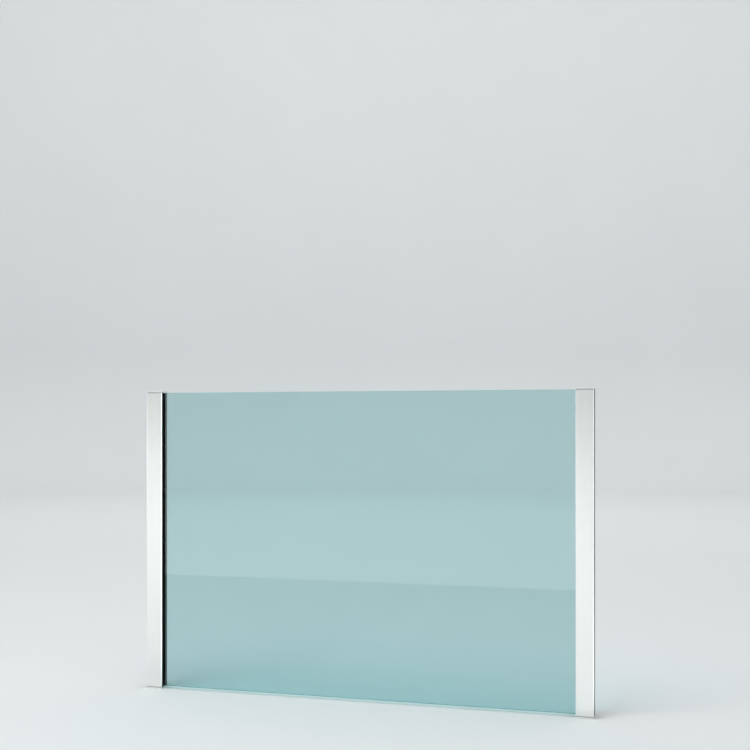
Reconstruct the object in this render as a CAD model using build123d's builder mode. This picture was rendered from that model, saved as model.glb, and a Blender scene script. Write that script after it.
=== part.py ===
from build123d import *
import os
from math import radians, tan

# French balcony: a laminated glass pane clamped between two slim uprights on the wall.
# Millimetres. +X runs along the wall, +Y into the wall and +Z up. The origin is the centre of
# the wall fixings in the wall plane, so the balcony itself lies at negative Y.
# From the wall to the front an upright is a stack of wall profile, rear gasket, glass, front
# gasket, clamp profile and cover profile, with a cap screwed on at each end.

# Overall sizes
overall_width = 1500.0  # between the outer edges of the two cover profiles
profile_length = 1000.0
cap_thickness = 5.0

# Glass pane
ply_thickness = 8.0
interlayer_thickness = 1.52
glass_arris = 1.0  # polished chamfer round the two outer faces
glass_bite = 28.0  # how far the pane reaches behind the face of an upright
glass_top_gap = 1.0  # between the pane and the top cap
setting_block_thickness = 3.0
setting_block_length = 22.0
edge_block_thickness = 3.5
edge_block_height = 80.0
edge_block_spacing = 600.0

# Wall profile, from its outer side to the glass
side_inset = 1.0  # shadow line beside the cover profile, on both sides
side_wall = 3.0
chamber_width = 7.5
slot_wall = 3.0
slot_width = 5.0
web_thickness = 5.0
toe_width = 9.0

# Wall profile, from the wall to the front
back_thickness = 5.0
toe_height = 13.0  # the rear gasket sits on it
slot_spare = 4.0  # left free beyond the tips of the clamp screws
slot_floor = 3.0
cover_gap = 0.5  # between the side wall's edge and the cover profile
pocket_radius = 1.0

# Screw ports, which the cap screws cut their thread in
port_radius = 1.8
port_wall = 2.0

# Wall fixings
anchor_hole_radius = 4.5
anchor_count = 4  # on each upright
anchor_end_distance = 80.0

# Sealing tape in the back of the wall profile
tape_width = 12.0
tape_thickness = 1.5
tape_inset = 5.0  # from the profile's outer side
tape_clearance = 0.2

# Gaskets and the grooves that hold their feet
rear_gasket_thickness = 3.0
front_gasket_thickness = 3.48
gasket_width = 8.0
gasket_lip_depth = 0.6
groove_mouth = 2.6
groove_mouth_depth = 1.2
groove_width = 4.0
groove_depth = 2.5
foot_clearance = 0.1

# Clamp profile
clamp_plate = 4.5
clamp_depth = 8.0  # from its back to the cover profile
clamp_side_gap = 0.5
clamp_end_gap = 1.0
heel_width = 4.0
rib_offset = 3.0  # from the profile's outer edge to the snap rib
rib_thickness = 2.0
snap_nose = 0.8
clamp_edge_radius = 0.4  # along the edges beside the glass
lip_width = 5.3
hook_pocket = 1.2
catch_depth = 1.5  # from the cover profile to the two undercuts that hold its legs

# Cover profile
cover_thickness = 3.0
cover_edge_radius = 2.5
cover_end_gap = 1.6  # the fine joint line beside each cap
leg_thickness = 1.4
leg_foot = 1.2
leg_clearance = 0.2

# Clamp screws, M6 with a countersunk head
clamp_screw_count = 4  # on each upright
clamp_screw_end_distance = 60.0
clamp_screw_length = 20.0
clamp_screw_hole_radius = 3.3
clamp_head_radius = 5.6
clamp_socket_width = 4.0
clamp_socket_depth = 2.3

# Caps and their screws, M4 with a countersunk head
cap_chamfer = 0.6
cap_lug_height = 6.0  # into the wall profile's chamber
cap_lug_clearance = 0.2
cap_screw_length = 16.0
cap_screw_hole_radius = 2.15
cap_head_radius = 3.75
cap_socket_width = 2.5
cap_socket_depth = 1.4

# What all screws share
head_angle = 90.0
thread_clearance = 0.1  # between a plain shank and the walls that its thread cuts into
seat_clearance = 0.1

# Positions across an upright, counted from the face's outer edge towards the glass
side_outer = side_inset
side_inner = side_outer + side_wall
slot_wall_outer = side_inner + chamber_width
slot_outer = slot_wall_outer + slot_wall
slot_inner = slot_outer + slot_width
web_inner = slot_inner + web_thickness
glass_edge = web_inner + edge_block_thickness
face_width = glass_edge + glass_bite
toe_inner = face_width - side_inset
toe_outer = toe_inner - toe_width
groove_centre = (toe_outer + toe_inner) / 2
slot_centre = (slot_outer + slot_inner) / 2
port_centre = (side_inner + slot_wall_outer) / 2
anchor_centre = (web_inner + toe_outer) / 2
tape_centre = side_outer + tape_inset + tape_width / 2
clamp_outer = side_inner + clamp_side_gap
clamp_inner = toe_inner - clamp_side_gap
rib_outer = clamp_outer + rib_offset
rib_inner = rib_outer + rib_thickness
lip_outer = clamp_inner - lip_width
pocket_end = lip_outer + hook_pocket

# Positions through an upright, counted from the wall to the front
glass_thickness = 2 * ply_thickness + interlayer_thickness
glass_rear = toe_height + rear_gasket_thickness
glass_front = glass_rear + glass_thickness
clamp_back = glass_front + front_gasket_thickness
clamp_floor = clamp_back + clamp_plate
cover_back = clamp_back + clamp_depth
catch_level = cover_back - catch_depth
face_front = cover_back + cover_thickness
box_front = glass_front
slot_bottom = clamp_floor - clamp_screw_length - slot_spare
chamber_front = slot_bottom - slot_floor
port_half = port_radius + port_wall
port_depth = box_front - port_half
toe_port_depth = (toe_height - groove_depth) / 2

# The pane
glass_width = overall_width - 2 * glass_edge
glass_height = profile_length - setting_block_thickness - glass_top_gap
glass_centre = (setting_block_thickness - glass_top_gap) / 2

# The right upright is drawn in this plane: its X runs from the face's outer edge towards the
# glass, and its Y from the wall to the front. The left upright is the mirror image.
outer_edge = overall_width / 2
section = Plane(origin=(outer_edge, 0, -profile_length / 2), x_dir=(-1, 0, 0), z_dir=(0, 0, 1))
section_top = section.offset(profile_length)

# The screw ports' places in the section: one in the hollow box, one in the toe
box_port = (port_centre, port_depth)
toe_port = (groove_centre, toe_port_depth)


def heights(count, end_distance):
    """Evenly spaced heights, with the same distance left to both ends of the profile."""
    first = -profile_length / 2 + end_distance
    step = (profile_length - 2 * end_distance) / (count - 1)
    return [first + i * step for i in range(count)]


def cap_heads(outwards, ports):
    """Planes in the outer face of the top (1) or bottom (-1) cap, one over each port."""
    level = outwards * (profile_length / 2 + cap_thickness)
    return [
        Plane(origin=(outer_edge - across, -through, level), z_dir=(0, 0, outwards))
        for across, through in ports
    ]


# Each of these planes lies in the top of a screw head and faces out of it. The bottom cap
# carries the pane and takes a second screw close to it.
clamp_heads = [
    Plane(origin=(outer_edge - slot_centre, -clamp_floor, height), z_dir=(0, -1, 0))
    for height in heights(clamp_screw_count, clamp_screw_end_distance)
]
top_cap_heads = cap_heads(1, [box_port])
bottom_cap_heads = cap_heads(-1, [box_port, toe_port])


def cut_groove(seat, inwards):
    """Cut a gasket groove into a section, from its seat towards the wall (-1) or front (1)."""
    neck = seat + inwards * groove_mouth_depth
    bottom = seat + inwards * groove_depth
    with Locations((groove_centre, (seat + bottom) / 2)):
        Rectangle(groove_mouth, groove_depth, mode=Mode.SUBTRACT)
    with Locations((groove_centre, (neck + bottom) / 2)):
        Rectangle(groove_width, groove_depth - groove_mouth_depth, mode=Mode.SUBTRACT)


def make_ply(rear, outer_face):
    """Pane of the laminate, with the arris round its front (0) or rear (-1) face."""
    with BuildPart() as ply:
        with BuildSketch(Plane.XZ.offset(rear)):
            with Locations((0, glass_centre)):
                Rectangle(glass_width, glass_height)
        extrude(amount=ply_thickness)
        chamfer(ply.faces().sort_by(Axis.Y)[outer_face].edges(), glass_arris)
    return ply.part


def make_glass_interlayer():
    with BuildPart() as glass_interlayer:
        with BuildSketch(Plane.XZ.offset(glass_rear + ply_thickness)):
            with Locations((0, glass_centre)):
                Rectangle(glass_width, glass_height)
        extrude(amount=interlayer_thickness)
    return glass_interlayer.part


def make_wall_profile():
    """Extrusion on the wall: hollow box with the clamp slot, then glass pocket and toe."""
    with BuildPart() as wall_profile:
        with BuildSketch(section) as outline:
            with BuildLine():
                Polyline(
                    (side_outer, 0),
                    (toe_inner, 0),
                    (toe_inner, toe_height),
                    (toe_outer, toe_height),
                    (toe_outer, back_thickness),
                    (web_inner, back_thickness),
                    (web_inner, box_front),
                    (slot_inner, box_front),
                    (slot_inner, slot_bottom),
                    (slot_outer, slot_bottom),
                    (slot_outer, box_front),
                    (side_inner, box_front),
                    (side_inner, cover_back - cover_gap),
                    (side_outer, cover_back - cover_gap),
                    close=True,
                )
            make_face()
            fillet(outline.vertices().group_by(Axis.Y)[1], pocket_radius)
            with Locations(box_port, toe_port):
                Circle(port_radius, mode=Mode.SUBTRACT)
            with Locations((tape_centre, tape_thickness / 2)):
                Rectangle(tape_width, tape_thickness, mode=Mode.SUBTRACT)
            cut_groove(toe_height, -1)
        extrude(amount=profile_length)
        with BuildSketch(section):
            with BuildLine():
                Polyline(
                    (side_inner, back_thickness),
                    (slot_inner, back_thickness),
                    (slot_inner, chamber_front),
                    (slot_wall_outer, chamber_front),
                    (slot_wall_outer, port_depth - port_half),
                    (side_inner, port_depth - port_half),
                    close=True,
                )
            make_face()
        extrude(amount=profile_length, mode=Mode.SUBTRACT)
        with BuildSketch(Plane.XZ):
            for height in heights(anchor_count, anchor_end_distance):
                with Locations((outer_edge - anchor_centre, height)):
                    Circle(anchor_hole_radius)
        extrude(amount=back_thickness, mode=Mode.SUBTRACT)
    return wall_profile.part


def make_gasket(seat, outwards, thickness):
    """Rubber strip with its foot in a groove and three lips on the glass."""
    neck = seat - outwards * (groove_mouth_depth + foot_clearance)
    bottom = seat - outwards * (groove_depth - foot_clearance)
    lips = seat + outwards * thickness
    with BuildPart() as gasket:
        with BuildSketch(section):
            with Locations((groove_centre, (seat + lips) / 2)):
                Rectangle(gasket_width, thickness)
            with Locations((groove_centre, (seat + bottom) / 2)):
                Rectangle(groove_mouth - 2 * foot_clearance, abs(seat - bottom))
            with Locations((groove_centre, (neck + bottom) / 2)):
                Rectangle(groove_width - 2 * foot_clearance, abs(neck - bottom))
            with Locations((groove_centre, lips)):
                with GridLocations(gasket_width / 3, 0, 2, 1):
                    Circle(gasket_lip_depth, mode=Mode.SUBTRACT)
        extrude(amount=profile_length)
    return gasket.part


def make_clamp_profile():
    """Extrusion that presses the front gasket onto the glass and carries the cover profile."""
    with BuildPart() as clamp_profile:
        with BuildSketch(section.offset(clamp_end_gap)) as outline:
            with BuildLine():
                Polyline(
                    (clamp_outer, box_front),
                    (clamp_outer + heel_width, box_front),
                    (clamp_outer + heel_width, clamp_back),
                    (clamp_inner, clamp_back),
                    (clamp_inner, cover_back),
                    (lip_outer, cover_back),
                    (lip_outer, catch_level),
                    (pocket_end, catch_level),
                    (pocket_end, clamp_floor),
                    (rib_inner, clamp_floor),
                    (rib_inner, catch_level),
                    (rib_inner + snap_nose, catch_level),
                    (rib_inner, cover_back),
                    (rib_outer, cover_back),
                    (rib_outer, clamp_floor),
                    (clamp_outer, clamp_floor),
                    close=True,
                )
            make_face()
            fillet(outline.vertices().group_by(Axis.X)[-1], clamp_edge_radius)
            cut_groove(clamp_back, 1)
        extrude(amount=profile_length - 2 * clamp_end_gap)
        with Locations(*clamp_heads):
            CounterSinkHole(
                clamp_screw_hole_radius,
                clamp_head_radius + seat_clearance,
                depth=clamp_plate,
                counter_sink_angle=head_angle,
            )
    return clamp_profile.part


def make_cover_profile():
    """Clip-on front: a flat plate with rounded long edges, a snap leg and a hook leg."""
    leg_back = catch_level - leg_clearance - leg_foot
    snap_face = rib_inner + snap_nose + leg_clearance
    hook_face = lip_outer - leg_clearance
    with BuildPart() as cover_profile:
        with BuildSketch(section.offset(cover_end_gap)) as outline:
            with Locations((face_width / 2, cover_back + cover_thickness / 2)):
                Rectangle(face_width, cover_thickness)
            fillet(outline.vertices().group_by(Axis.Y)[-1], cover_edge_radius)
            with BuildLine():
                Polyline(
                    (snap_face, cover_back),
                    (snap_face, leg_back + leg_foot),
                    (rib_inner + leg_clearance, leg_back + leg_foot),
                    (snap_face, leg_back),
                    (snap_face + leg_thickness, leg_back),
                    (snap_face + leg_thickness, cover_back),
                    close=True,
                )
            make_face()
            with BuildLine():
                Polyline(
                    (hook_face, cover_back),
                    (hook_face, leg_back + leg_foot),
                    (pocket_end - leg_clearance, leg_back + leg_foot),
                    (pocket_end - leg_clearance, leg_back),
                    (hook_face - leg_thickness, leg_back),
                    (hook_face - leg_thickness, cover_back),
                    close=True,
                )
            make_face()
        extrude(amount=profile_length - 2 * cover_end_gap)
    return cover_profile.part


def make_sealing_tape():
    """Strip pressed flush into the back of the wall profile."""
    with BuildPart() as sealing_tape:
        with BuildSketch(section):
            with Locations((tape_centre, tape_thickness / 2)):
                Rectangle(tape_width - 2 * tape_clearance, tape_thickness)
        extrude(amount=profile_length)
    return sealing_tape.part


def make_edge_blocks():
    """Two blocks between the web and the pane's vertical edge."""
    with BuildPart() as edge_blocks:
        for height in (-edge_block_spacing / 2, edge_block_spacing / 2):
            with BuildSketch(section.offset(profile_length / 2 + height - edge_block_height / 2)):
                with Locations(((web_inner + glass_edge) / 2, (glass_rear + glass_front) / 2)):
                    Rectangle(edge_block_thickness, glass_thickness)
            extrude(amount=edge_block_height)
    return edge_blocks.part


def make_setting_block():
    """Block on the bottom cap that carries the pane's weight."""
    with BuildPart() as setting_block:
        with BuildSketch(section):
            with Locations(((glass_edge + toe_inner) / 2, (glass_rear + glass_front) / 2)):
                Rectangle(setting_block_length, glass_thickness)
        extrude(amount=setting_block_thickness)
    return setting_block.part


def make_cap(seat, outwards, heads):
    """Plate over the top (1) or bottom (-1) of the section, with a lug in the chamber."""
    with BuildPart() as cap:
        with BuildSketch(seat) as outline:
            with Locations((face_width / 2, face_front / 2)):
                Rectangle(face_width, face_front)
            fillet(outline.vertices().group_by(Axis.Y)[-1], cover_edge_radius)
        extrude(amount=outwards * cap_thickness)
        outer_face = cap.faces().sort_by(Axis((0, 0, 0), (0, 0, outwards)))[-1]
        chamfer(outer_face.edges(), cap_chamfer)
        with BuildSketch(seat):
            with Locations(((side_inner + slot_inner) / 2, (back_thickness + chamber_front) / 2)):
                Rectangle(
                    slot_inner - side_inner - 2 * cap_lug_clearance,
                    chamber_front - back_thickness - 2 * cap_lug_clearance,
                )
        extrude(amount=-outwards * cap_lug_height)
        with Locations(*heads):
            CounterSinkHole(
                cap_screw_hole_radius,
                cap_head_radius + seat_clearance,
                depth=cap_thickness,
                counter_sink_angle=head_angle,
            )
    return cap.part


def make_screws(heads, head_radius, shank_radius, length, socket_width, socket_depth):
    """Countersunk screws with a hexagon socket, one for each plane in heads."""
    head_height = (head_radius - shank_radius) / tan(radians(head_angle / 2))
    with BuildPart() as screw:
        with BuildSketch(Plane.XZ):
            with BuildLine():
                Polyline(
                    (0, 0),
                    (head_radius, 0),
                    (shank_radius, -head_height),
                    (shank_radius, -length),
                    (0, -length),
                    close=True,
                )
            make_face()
        revolve(axis=Axis.Z)
        with BuildSketch(Plane.XY):
            RegularPolygon(socket_width / 2, 6, major_radius=False)
        extrude(amount=-socket_depth, mode=Mode.SUBTRACT)
    with BuildPart() as screws:
        with Locations(*heads):
            add(screw.part)
    return screws.part


def write(part, name):
    part.label = name
    export_step(part, f"parts/{name}.step")


def write_both_sides(part, name):
    """Write the right upright's piece and its mirror image on the left."""
    with BuildPart() as opposite:
        mirror(part, about=Plane.YZ)
    write(part, f"right_{name}")
    write(opposite.part, f"left_{name}")


os.makedirs("parts", exist_ok=True)

write(make_ply(glass_front - ply_thickness, 0), "glass_front_ply")
write(make_glass_interlayer(), "glass_interlayer")
write(make_ply(glass_rear, -1), "glass_rear_ply")

write_both_sides(make_wall_profile(), "wall_profile")
write_both_sides(make_sealing_tape(), "sealing_tape")
write_both_sides(make_gasket(toe_height, 1, rear_gasket_thickness), "rear_gasket")
write_both_sides(make_edge_blocks(), "edge_blocks")
write_both_sides(make_setting_block(), "setting_block")
write_both_sides(make_gasket(clamp_back, -1, front_gasket_thickness), "front_gasket")
write_both_sides(make_clamp_profile(), "clamp_profile")
write_both_sides(
    make_screws(
        clamp_heads,
        clamp_head_radius,
        slot_width / 2 - thread_clearance,
        clamp_screw_length,
        clamp_socket_width,
        clamp_socket_depth,
    ),
    "clamp_screws",
)
write_both_sides(make_cover_profile(), "cover_profile")
write_both_sides(make_cap(section_top, 1, top_cap_heads), "top_cap")
write_both_sides(make_cap(section, -1, bottom_cap_heads), "bottom_cap")
write_both_sides(
    make_screws(
        top_cap_heads + bottom_cap_heads,
        cap_head_radius,
        port_radius - thread_clearance,
        cap_screw_length,
        cap_socket_width,
        cap_socket_depth,
    ),
    "cap_screws",
)
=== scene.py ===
from math import cos, pi, radians, sin

import bmesh
import bpy
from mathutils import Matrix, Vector


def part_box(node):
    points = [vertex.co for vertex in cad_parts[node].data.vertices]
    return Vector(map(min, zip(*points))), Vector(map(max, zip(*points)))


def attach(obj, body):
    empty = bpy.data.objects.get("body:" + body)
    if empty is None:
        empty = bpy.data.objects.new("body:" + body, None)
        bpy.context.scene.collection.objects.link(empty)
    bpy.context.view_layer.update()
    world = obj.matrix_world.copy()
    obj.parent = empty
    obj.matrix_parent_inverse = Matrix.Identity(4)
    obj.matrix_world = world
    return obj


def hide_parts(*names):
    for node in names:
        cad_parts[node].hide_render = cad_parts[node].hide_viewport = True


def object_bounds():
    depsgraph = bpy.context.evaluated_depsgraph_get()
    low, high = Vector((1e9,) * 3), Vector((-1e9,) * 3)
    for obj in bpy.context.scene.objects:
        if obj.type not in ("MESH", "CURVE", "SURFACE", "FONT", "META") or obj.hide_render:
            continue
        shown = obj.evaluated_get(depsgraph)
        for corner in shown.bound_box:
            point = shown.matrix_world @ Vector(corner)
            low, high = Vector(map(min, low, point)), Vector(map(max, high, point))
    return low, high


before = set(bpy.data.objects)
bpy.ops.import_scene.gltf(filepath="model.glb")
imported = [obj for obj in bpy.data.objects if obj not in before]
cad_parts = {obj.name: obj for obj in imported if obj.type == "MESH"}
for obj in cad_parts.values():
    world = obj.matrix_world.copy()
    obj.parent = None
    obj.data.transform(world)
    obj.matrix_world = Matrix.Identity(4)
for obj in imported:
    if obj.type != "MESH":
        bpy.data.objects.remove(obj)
cad_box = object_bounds()

# Metres, in the model's own frame: +X along the wall, +Y into the wall, +Z up. The camera
# stands in front, at negative Y.
SIDES = ("left", "right")
FLOOR_LEVEL = cad_box[0][2]
MM = 0.001

# The camera, worked out from the uprights' corners and the pane's edges in the photograph
IMAGE_WIDTH_PX = 750
FOCAL_LENGTH_PX = 1134.8
HORIZON_PX = 424.4  # the level of the eye, counted down from the top
CAMERA_PLACE = Vector((1.057, -3.547, 0.392))
CAMERA_YAW = radians(15.94)  # turned to the left of straight ahead
SENSOR_WIDTH = 36.0  # millimetres

# The pane: the piece that stands for each of its nodes, and how wide the polished chamfer
# round its two outer faces is
PANE_LAYERS = {
    "glass_front_ply": "pane_front_ply",
    "glass_rear_ply": "pane_rear_ply",
    "glass_interlayer": "pane_film",
}
ARRIS = 1.0 * MM

# The screws' threads, in millimetres: the radius of the shank, the radius of the crest, the
# pitch, and where the thread starts and ends, counted from the top of the head
CLAMP_THREAD = (2.4, 2.95, 1.0, 4.2, 19.4)
CAP_THREAD = (1.7, 1.97, 0.7, 3.0, 15.4)
# The tops of the right upright's screw heads, in millimetres, and which way the screws point
CLAMP_SCREW_LEVELS = (-440, -440 / 3, 440 / 3, 440)
CLAMP_SCREWS = [((733.0, -41.5, level), (0, 1, 0)) for level in CLAMP_SCREW_LEVELS]
CAP_SCREWS = [
    ((742.25, -29.72, 505.0), (0, 0, -1)),
    ((742.25, -29.72, -505.0), (0, 0, 1)),
    ((699.5, -5.25, -505.0), (0, 0, 1)),
]
THREAD_STEPS = 20  # in each turn
THREAD_ROOT = 0.8  # its widths at the shank and at the crest, as shares of the pitch
THREAD_CREST = 0.14
THREAD_SINK = 0.1  # how deep its foot lies in the shank
THREAD_RUNOUT = 0.5  # the turns over which it rises at one end and falls at the other
THREAD_LEAST = 0.1  # the share of its height at which it starts and ends, inside the shank

# A round studio whose pale floor runs up into its wall
STUDIO_RADIUS = 14.0
STUDIO_BEND = 2.0
STUDIO_WALL_TOP = 13.0
STUDIO_SIDES = 96
STUDIO_BEND_STEPS = 16

# The soft boxes that light the studio: where each stands, where it points, its width and
# height, and how bright it is
SOFT_BOXES = {
    "key": ((-1.2, -2.4, 4.6), (0.0, 0.0, -0.2), (2.8, 2.8), 3.4),
    "backdrop": ((-1.5, 5.5, 8.0), (-3.5, 14.0, 2.0), (9.0, 3.0), 1.9),
}
# The reflectors, which only show in gloss, in the same way: those that all pieces show, the
# one that only the pane shows, and those that only the uprights show, for the fine light lines
# along the edges of their faces. A reflector at -0.495 lies just above the floor and faces up.
FLOOR_REFLECTORS = {
    "floor_left": ((-1.6, -1.4, -0.495), (-1.6, -1.4, 1.0), (2.2, 1.9), 0.05),
    "floor_right": ((0.5, -1.2, -0.495), (0.5, -1.2, 1.0), (1.6, 2.2), 0.15),
}
PANE_REFLECTOR = ((0.0, -2.68, 1.5), (0.0, 0.0, 1.5), (16.0, 4.0), 1.2)
EDGE_REFLECTORS = {
    "right": ((5.2, -3.0, 0.05), (0.0, 0.0, -0.1), (2.6, 1.1), 3.4),
    "left": ((-5.8, -1.2, 0.05), (0.0, 0.0, -0.1), (2.6, 1.1), 3.0),
    "low_right": ((2.1, -0.9, -0.495), (2.1, -0.9, 1.0), (2.4, 2.6), 0.65),
}
# Those that only the left upright shows, for the light line along its inner edge
INNER_REFLECTORS = {
    "inner": ((4.6, -2.8, 0.2), (-0.73, 0.0, 0.2), (2.6, 1.4), 4.2),
    "low_inner": ((0.9, -0.85, -0.495), (0.9, -0.85, 1.0), (3.0, 1.5), 0.8),
}
# The uprights' reflector in front: a wall of strips, with the brightness of each from the
# floor up
FRONT_STRIPS = (0.50, 0.51, 0.55, 0.57, 0.55, 0.45, 0.31, 0.13, 0.04)
FRONT_STRIP_SIZE = (3.4, 0.14)
FRONT_PLACE = (-1.1, -2.85)  # its middle, seen from above
LAMP_WATTS = 4  # per square metre, at a brightness of 1
# The light that comes from all around
AIR = (0.955, 0.98, 0.985)
AIR_BRIGHTNESS = 0.96

# Colours, as the shaders take them
SATIN = (0.885, 0.893, 0.873)
SATIN_DARKER = (0.85, 0.858, 0.84)
ANODISED_BLACK = (0.0018, 0.002, 0.0024)
ANODISED_BLACK_WORN = (0.005, 0.0055, 0.006)
ANODISED_DARK = (0.011, 0.012, 0.0135)
ANODISED_DARK_WORN = (0.026, 0.028, 0.031)
FOAM = (0.085, 0.087, 0.092)
FOAM_CELL = (0.03, 0.031, 0.033)
RUBBER = (0.002, 0.002, 0.0023)
RUBBER_DUSTY = (0.006, 0.006, 0.0065)
PLASTIC = (0.045, 0.046, 0.050)
PLASTIC_PALER = (0.065, 0.066, 0.070)
STEEL = (0.56, 0.57, 0.58)
STEEL_DARKER = (0.42, 0.43, 0.44)
GLASS_TINT = (0.487, 0.704, 0.719)
GLASS_TINT_DARKER = [0.985 * c for c in GLASS_TINT]
GLASS_EDGE = (0.22, 0.52, 0.52)
GLASS_EDGE_PALER = (0.34, 0.66, 0.65)
FILM = (0.62, 0.80, 0.80)
FILM_DARKER = [0.9 * c for c in FILM]
PALE = (0.77, 0.785, 0.79)
PALE_DARKER = [0.985 * c for c in PALE]
PLY_TINT = [c ** 0.5 for c in GLASS_TINT]  # what one of the two plies lets through
GLASS_IOR = 1.5

# Where most of a noise's values lie
NOISE_MIDDLE = (0.3, 0.7)


class Look:
    """A material in the making: its nodes, its links and its shader."""

    def __init__(self, name, roughness, metallic=0.0):
        self.material = bpy.data.materials.new(name)
        self.material.use_nodes = True
        self.nodes = self.material.node_tree.nodes
        self.links = self.material.node_tree.links
        self.shader = self.nodes["Principled BSDF"]
        self.output = self.nodes["Material Output"]
        self.shader.inputs["Roughness"].default_value = roughness
        self.shader.inputs["Metallic"].default_value = metallic

    def noise(self, per_metre, detail=2.0):
        """Noise in the model's frame, with this many blotches per metre along X, Y and Z."""
        place = self.nodes.new("ShaderNodeTexCoord")
        stretch = self.nodes.new("ShaderNodeMapping")
        stretch.inputs["Scale"].default_value = per_metre
        texture = self.nodes.new("ShaderNodeTexNoise")
        texture.inputs["Scale"].default_value = 1.0
        texture.inputs["Detail"].default_value = detail
        self.links.new(place.outputs["Object"], stretch.inputs["Vector"])
        self.links.new(stretch.outputs["Vector"], texture.inputs["Vector"])
        return texture.outputs["Fac"]

    def colour(self, pattern, first, second):
        """Let a pattern mix two colours on the surface."""
        mix = self.nodes.new("ShaderNodeMix")
        mix.data_type = "RGBA"
        mix.inputs["A"].default_value = (*first, 1.0)
        mix.inputs["B"].default_value = (*second, 1.0)
        self.links.new(self.spread(pattern, 0.0, 1.0), mix.inputs["Factor"])
        self.links.new(mix.outputs["Result"], self.shader.inputs["Base Color"])

    def roughness(self, pattern, least, most):
        self.links.new(self.spread(pattern, least, most), self.shader.inputs["Roughness"])

    def spread(self, pattern, least, most):
        """Stretch the middle of a noise over the range that a socket needs."""
        stretched = self.nodes.new("ShaderNodeMapRange")
        stretched.inputs["From Min"].default_value = NOISE_MIDDLE[0]
        stretched.inputs["From Max"].default_value = NOISE_MIDDLE[1]
        stretched.inputs["To Min"].default_value = least
        stretched.inputs["To Max"].default_value = most
        self.links.new(pattern, stretched.inputs["Value"])
        return stretched.outputs["Result"]

    def relief(self, pattern, height, strength=1.0):
        """Raise the surface by a pattern, up to a height in metres."""
        bump = self.nodes.new("ShaderNodeBump")
        bump.inputs["Distance"].default_value = height
        bump.inputs["Strength"].default_value = strength
        self.links.new(pattern, bump.inputs["Height"])
        self.links.new(bump.outputs["Normal"], self.shader.inputs["Normal"])

    def let_light_through(self, tint):
        """Let the lamps' light through, so that glass casts a pale shadow."""
        path = self.nodes.new("ShaderNodeLightPath")
        clear = self.nodes.new("ShaderNodeBsdfTransparent")
        clear.inputs["Color"].default_value = (*tint, 1.0)
        mix = self.nodes.new("ShaderNodeMixShader")
        self.links.new(path.outputs["Is Shadow Ray"], mix.inputs["Fac"])
        self.links.new(self.shader.outputs["BSDF"], mix.inputs[1])
        self.links.new(clear.outputs["BSDF"], mix.inputs[2])
        self.links.new(mix.outputs["Shader"], self.output.inputs["Surface"])


def satin_aluminium(name, along, across):
    """Natural anodised metal with fine lines left by the brush or the press."""
    look = Look(name, roughness=0.3, metallic=1.0)
    lines = look.noise([4200 if k in across else 14 for k in "XYZ"], detail=3.0)
    clouds = look.noise([2.5 if k == along else 9 for k in "XYZ"])
    look.colour(clouds, SATIN, SATIN_DARKER)
    look.roughness(lines, 0.26, 0.36)
    look.relief(lines, 0.004 * MM, 0.35)
    return look.material


def black_aluminium(name, colour, worn, gloss):
    """Black anodised extrusion with die lines along its length."""
    look = Look(name, roughness=0.45)
    lines = look.noise((2600, 2600, 6), detail=3.0)
    look.colour(lines, colour, worn)
    look.roughness(lines, 0.36, 0.54)
    look.relief(lines, 0.01 * MM, 0.4)
    look.shader.inputs["Specular IOR Level"].default_value = gloss
    return look.material


def rubber():
    """Extruded rubber, matte, with a trace of dust."""
    look = Look("rubber", roughness=0.75)
    grain = look.noise((1800, 1800, 700), detail=4.0)
    dust = look.noise((60, 60, 9), detail=3.0)
    look.colour(dust, RUBBER, RUBBER_DUSTY)
    look.roughness(grain, 0.66, 0.86)
    look.relief(grain, 0.03 * MM, 0.5)
    look.shader.inputs["Specular IOR Level"].default_value = 0.25
    return look.material


def foam():
    """Closed-cell sealing tape with visible cells."""
    look = Look("sealing_foam", roughness=0.9)
    cells = look.nodes.new("ShaderNodeTexVoronoi")
    cells.inputs["Scale"].default_value = 1500.0
    place = look.nodes.new("ShaderNodeTexCoord")
    look.links.new(place.outputs["Object"], cells.inputs["Vector"])
    look.colour(cells.outputs["Distance"], FOAM, FOAM_CELL)
    look.relief(cells.outputs["Distance"], 0.15 * MM, 0.8)
    return look.material


def block_plastic():
    """Moulded plastic of the glazing blocks, with a fine spark-eroded grain."""
    look = Look("block_plastic", roughness=0.55)
    grain = look.noise((2200, 2200, 2200), detail=2.0)
    clouds = look.noise((70, 70, 70))
    look.colour(clouds, PLASTIC, PLASTIC_PALER)
    look.roughness(grain, 0.48, 0.64)
    look.relief(grain, 0.02 * MM, 0.6)
    return look.material


def steel():
    """Plain stainless screws with the fine marks of turning."""
    look = Look("stainless_steel", roughness=0.28, metallic=1.0)
    marks = look.noise((3500, 3500, 3500), detail=3.0)
    look.colour(marks, STEEL, STEEL_DARKER)
    look.roughness(marks, 0.2, 0.36)
    look.relief(marks, 0.004 * MM, 0.4)
    return look.material


def glass_face():
    """Toughened float glass with a blue-green cast, its faces a trace wavy from the rollers."""
    look = Look("glass_face", roughness=0.0)
    look.shader.inputs["Transmission Weight"].default_value = 1.0
    look.shader.inputs["IOR"].default_value = GLASS_IOR
    haze = look.noise((3, 3, 3))
    look.colour(haze, GLASS_TINT, GLASS_TINT_DARKER)
    look.relief(look.noise((5, 5, 7), detail=0.0), 0.02 * MM, 0.25)
    look.let_light_through(PLY_TINT)
    return look.material


def glass_edge():
    """The ground and polished edge of a ply, where the glass's own colour gathers."""
    look = Look("glass_edge", roughness=0.16)
    look.shader.inputs["Transmission Weight"].default_value = 0.35
    look.shader.inputs["IOR"].default_value = GLASS_IOR
    look.colour(look.noise((45, 45, 45), detail=3.0), GLASS_EDGE, GLASS_EDGE_PALER)
    look.relief(look.noise((900, 900, 900), detail=2.0), 0.01 * MM, 0.3)
    look.let_light_through(PLY_TINT)
    return look.material


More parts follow.
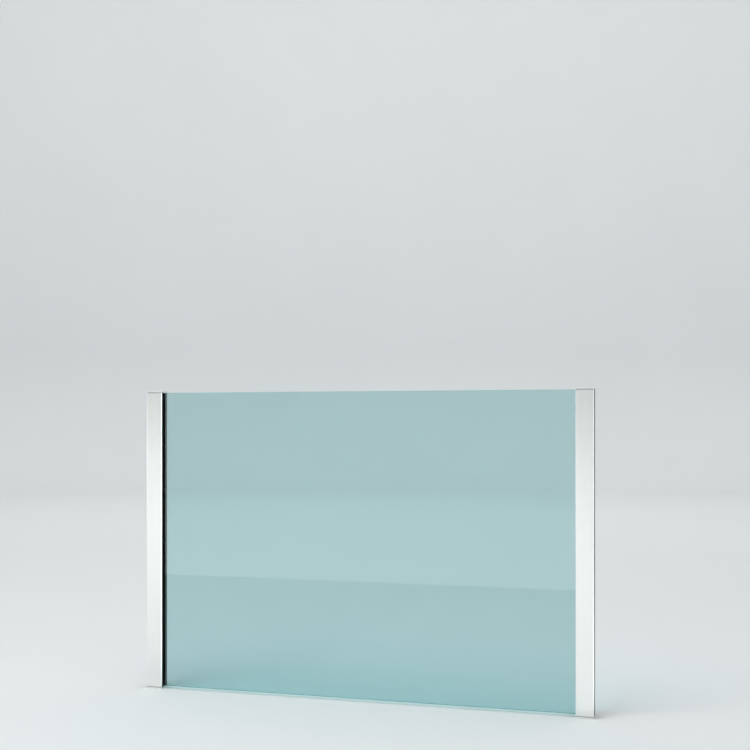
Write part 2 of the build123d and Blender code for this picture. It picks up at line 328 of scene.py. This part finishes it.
def film_edge():
    """The edge of the clear film between the plies."""
    look = Look("film_edge", roughness=0.4)
    look.colour(look.noise((120, 120, 120)), FILM, FILM_DARKER)
    return look.material


def bonded_face():
    """A face that is bonded to its neighbour, where no light is bent or thrown back."""
    bonded = bpy.data.materials.new("bonded_face")
    bonded.use_nodes = True
    nodes = bonded.node_tree.nodes
    nodes.remove(nodes["Principled BSDF"])
    clear = nodes.new("ShaderNodeBsdfTransparent")
    surface = nodes["Material Output"].inputs["Surface"]
    bonded.node_tree.links.new(clear.outputs["BSDF"], surface)
    return bonded


def mesh_piece(name, corners, faces, materials):
    """A closed piece from its corners and its faces, each with the number of its material."""
    mesh = bpy.data.meshes.new(name)
    mesh.from_pydata(corners, [], [face for face, _ in faces])
    for material in materials:
        mesh.materials.append(material)
    for polygon, (_, slot) in zip(mesh.polygons, faces):
        polygon.material_index = slot
    shaper = bmesh.new()
    shaper.from_mesh(mesh)
    bmesh.ops.recalc_face_normals(shaper, faces=shaper.faces)
    shaper.to_mesh(mesh)
    shaper.free()
    piece = bpy.data.objects.new(name, mesh)
    bpy.context.scene.collection.objects.link(piece)
    return piece


def ring(low, high, depth, inset=0.0):
    """The four corners of a pane at one depth, anticlockwise as seen from the front."""
    return [
        (low.x + inset, depth, low.z + inset),
        (high.x - inset, depth, low.z + inset),
        (high.x - inset, depth, high.z - inset),
        (low.x + inset, depth, high.z - inset),
    ]


def wrap(band_slots, end_slots):
    """The faces round a row of rings of four corners: one end, the bands and the other end.

    The slots say which material each band and each end takes.
    """
    faces = [((0, 1, 2, 3), end_slots[0])]
    for k, slot in enumerate(band_slots):
        for i in range(4):
            j = (i + 1) % 4
            faces.append(((4 * k + i, 4 * k + j, 4 * k + 4 + j, 4 * k + 4 + i), slot))
    last = 4 * len(band_slots)
    faces.append(((last + 3, last + 2, last + 1, last), end_slots[1]))
    return faces


def layer(node, rings, band_slots, end_slots, materials):
    """The piece that stands for one layer of the pane, through a row of rings."""
    corners = [corner for points in rings for corner in points]
    piece = mesh_piece(PANE_LAYERS[node], corners, wrap(band_slots, end_slots), materials)
    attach(piece, "root")
    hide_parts(node)


def dress_pane():
    """Two plies with polished edges and the film between them."""
    glass = [glass_face(), glass_edge(), bonded_face()]
    face, edge, bond = range(3)
    low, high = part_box("glass_front_ply")
    rings = [
        ring(low, high, low.y, ARRIS),
        ring(low, high, low.y + ARRIS),
        ring(low, high, high.y),
    ]
    layer("glass_front_ply", rings, (edge, edge), (face, bond), glass)
    low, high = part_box("glass_rear_ply")
    rings = [
        ring(low, high, low.y),
        ring(low, high, high.y - ARRIS),
        ring(low, high, high.y, ARRIS),
    ]
    layer("glass_rear_ply", rings, (edge, edge), (bond, face), glass)
    low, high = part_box("glass_interlayer")
    rings = [ring(low, high, low.y), ring(low, high, high.y)]
    film = [film_edge(), bonded_face()]
    layer("glass_interlayer", rings, (0,), (1, 1), film)


def wind_thread(head, inwards, thread):
    """The corners and faces of a thread, a closed ridge that runs out at both its ends."""
    shank, crest, pitch, start, end = thread
    first = inwards.orthogonal().normalized()
    second = inwards.cross(first)
    foot = shank - THREAD_SINK
    steps = round((end - start) / pitch * THREAD_STEPS)
    corners = []
    for k in range(steps + 1):
        turn = 2 * pi * k / THREAD_STEPS
        outwards = cos(turn) * first + sin(turn) * second
        turns_left = min(k, steps - k) / THREAD_STEPS
        rise = min(1.0, THREAD_LEAST + turns_left / THREAD_RUNOUT)
        tip = foot + rise * (crest - foot)
        depth = start + k / THREAD_STEPS * pitch
        for radius, width in (
            (foot, -THREAD_ROOT),
            (tip, -THREAD_CREST),
            (tip, THREAD_CREST),
            (foot, THREAD_ROOT),
        ):
            place = head + radius * outwards + (depth + width * pitch / 2) * inwards
            corners.append(MM * place)
    return corners, wrap([0] * steps, (0, 0))


def cut_threads(kind, screws, thread, material):
    """The threads of one kind of screw, right-handed on both uprights."""
    for side, sign in zip(SIDES, (-1, 1)):
        corners, faces = [], []
        for (across, through, level), inwards in screws:
            head = Vector((sign * across, through, level))
            more_corners, more_faces = wind_thread(head, Vector(inwards), thread)
            count = len(corners)
            corners += more_corners
            faces += [([count + k for k in face], slot) for face, slot in more_faces]
        piece = mesh_piece(f"{side}_{kind}_threads", corners, faces, [material])
        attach(piece, "root")


def dress(node, material):
    """Give a CAD node its finish."""
    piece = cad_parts[node]
    piece.data.materials.clear()
    piece.data.materials.append(material)


def dress_uprights():
    finishes = {
        "cover_profile": satin_aluminium("satin_aluminium_drawn", "Z", "XY"),
        "top_cap": satin_aluminium("satin_aluminium_cut", "X", "YZ"),
        "wall_profile": black_aluminium(
            "black_aluminium_wall", ANODISED_DARK, ANODISED_DARK_WORN, gloss=0.4
        ),
        "clamp_profile": black_aluminium(
            "black_aluminium_clamp", ANODISED_BLACK, ANODISED_BLACK_WORN, gloss=0.2
        ),
        "rear_gasket": rubber(),
        "sealing_tape": foam(),
        "edge_blocks": block_plastic(),
        "clamp_screws": steel(),
    }
    finishes["bottom_cap"] = finishes["top_cap"]
    finishes["front_gasket"] = finishes["rear_gasket"]
    finishes["setting_block"] = finishes["edge_blocks"]
    finishes["cap_screws"] = finishes["clamp_screws"]
    for side in SIDES:
        for part, finish in finishes.items():
            dress(f"{side}_{part}", finish)
    cut_threads("clamp_screw", CLAMP_SCREWS, CLAMP_THREAD, finishes["clamp_screws"])
    cut_threads("cap_screw", CAP_SCREWS, CAP_THREAD, finishes["cap_screws"])


def build_studio():
    """A round pale room, open at the top, whose floor bends up into the wall."""
    bend_foot = STUDIO_RADIUS - STUDIO_BEND
    profile = [(0.0, 0.0)]
    for k in range(STUDIO_BEND_STEPS + 1):
        turn = pi / 2 * k / STUDIO_BEND_STEPS
        profile.append((bend_foot + STUDIO_BEND * sin(turn), STUDIO_BEND * (1 - cos(turn))))
    profile.append((STUDIO_RADIUS, STUDIO_WALL_TOP))
    shaper = bmesh.new()
    points = [shaper.verts.new((across, 0.0, FLOOR_LEVEL + up)) for across, up in profile]
    edges = [shaper.edges.new(pair) for pair in zip(points, points[1:])]
    bmesh.ops.spin(
        shaper,
        geom=points + edges,
        cent=(0, 0, 0),
        axis=(0, 0, 1),
        angle=2 * pi,
        steps=STUDIO_SIDES,
        use_merge=True,
    )
    bmesh.ops.remove_doubles(shaper, verts=shaper.verts, dist=0.01 * MM)
    bmesh.ops.recalc_face_normals(shaper, faces=shaper.faces)
    mesh = bpy.data.meshes.new("studio")
    shaper.to_mesh(mesh)
    shaper.free()
    for polygon in mesh.polygons:
        polygon.use_smooth = True
    look = Look("studio_pale", roughness=0.85)
    look.colour(look.noise((0.7, 0.7, 0.7)), PALE, PALE_DARKER)
    look.shader.inputs["Specular IOR Level"].default_value = 0.0
    mesh.materials.append(look.material)
    studio = bpy.data.objects.new("studio", mesh)
    bpy.context.scene.collection.objects.link(studio)


def soft_light(name, place, target, size, brightness, reflector=False, only=None):
    """A soft box that the camera doesn't see, also not through the glass.

    Gloss sees its face, brighter than white from a brightness of about 0.8. A reflector
    only shows in gloss. It lights all the pieces, or only those of one collection.
    """
    lamp = bpy.data.lights.new(name, "AREA")
    lamp.shape = "RECTANGLE"
    lamp.size, lamp.size_y = size
    lamp.energy = LAMP_WATTS * size[0] * size[1] * brightness
    holder = bpy.data.objects.new(name, lamp)
    holder.location = place
    beam = Vector(target) - Vector(place)
    holder.rotation_euler = beam.to_track_quat("-Z", "Y").to_euler()
    holder.visible_camera = False
    holder.visible_transmission = False
    holder.visible_diffuse = not reflector
    holder.light_linking.receiver_collection = only
    bpy.context.scene.collection.objects.link(holder)


def upright_pieces(sides):
    """The CAD pieces of one upright, or of both."""
    return [piece for node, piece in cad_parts.items() if node.startswith(sides)]


def gather(name, pieces):
    """A collection of pieces, for the lights that only they show."""
    collection = bpy.data.collections.new(name)
    for piece in pieces:
        collection.objects.link(piece)
    return collection


def light_studio():
    for name, settings in SOFT_BOXES.items():
        soft_light(f"light_{name}", *settings)
    for name, settings in FLOOR_REFLECTORS.items():
        soft_light(f"light_{name}", *settings, reflector=True)
    pane = gather("pane", [bpy.data.objects[name] for name in PANE_LAYERS.values()])
    uprights = gather("uprights", upright_pieces(SIDES))
    left = gather("left", upright_pieces("left"))
    soft_light("light_pane", *PANE_REFLECTOR, reflector=True, only=pane)
    for name, settings in EDGE_REFLECTORS.items():
        soft_light(f"light_{name}", *settings, reflector=True, only=uprights)
    for name, settings in INNER_REFLECTORS.items():
        soft_light(f"light_{name}", *settings, reflector=True, only=left)
    across, depth = FRONT_PLACE
    for k, brightness in enumerate(FRONT_STRIPS):
        level = FLOOR_LEVEL + (k + 0.5) * FRONT_STRIP_SIZE[1]
        soft_light(
            f"light_front_{k}",
            (across, depth, level),
            (across, 0.0, level),
            FRONT_STRIP_SIZE,
            brightness,
            reflector=True,
            only=uprights,
        )
    air = bpy.data.worlds.new("studio_air")
    air.use_nodes = True
    sky = air.node_tree.nodes["Background"]
    sky.inputs["Color"].default_value = (*AIR, 1.0)
    sky.inputs["Strength"].default_value = AIR_BRIGHTNESS
    bpy.context.scene.world = air


def place_camera():
    lens = bpy.data.cameras.new("camera")
    lens.sensor_width = SENSOR_WIDTH
    lens.lens = FOCAL_LENGTH_PX / IMAGE_WIDTH_PX * SENSOR_WIDTH
    lens.shift_y = (HORIZON_PX - IMAGE_WIDTH_PX / 2) / IMAGE_WIDTH_PX
    camera = bpy.data.objects.new("camera", lens)
    camera.location = CAMERA_PLACE
    camera.rotation_euler = (pi / 2, 0, CAMERA_YAW)
    bpy.context.scene.collection.objects.link(camera)
    bpy.context.scene.camera = camera


def set_tone():
    """Plain tones, and enough light paths for a pane of three layers."""
    scene = bpy.context.scene
    scene.view_settings.view_transform = "Standard"
    scene.cycles.transparent_max_bounces = 32
    scene.cycles.transmission_bounces = 16


place_camera()
dress_pane()
dress_uprights()
build_studio()
light_studio()
set_tone()
